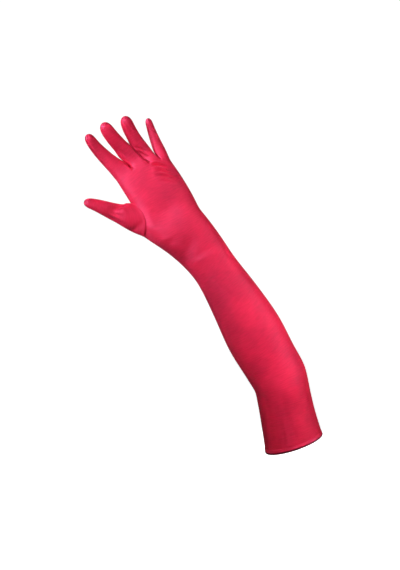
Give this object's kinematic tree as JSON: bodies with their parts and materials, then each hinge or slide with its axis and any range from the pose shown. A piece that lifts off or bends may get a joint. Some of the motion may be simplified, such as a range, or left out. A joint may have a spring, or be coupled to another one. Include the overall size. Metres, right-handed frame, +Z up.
{
  "type": "elbow length glove",
  "caption": "Dress glove in smooth stretch satin that reaches past the elbow, with a set-in thumb, slim separate fingers and a narrow stitched hem, kept in its worn shape.",
  "frame": {"origin": "centre of the sleeve opening at the elbow end", "axes": "X to the right as seen from the palm side, +Y away from the palm side, +Z up toward the hand"},
  "size_m": [0.3073, 0.1263, 0.4352],
  "materials": {
    "satin": "smooth red stretch satin with a soft broad sheen"
  },
  "bodies": {
    "root": {"glove_body": "satin", "thumb": "satin", "cuff_hem": "satin"}
  },
  "joints": []
}
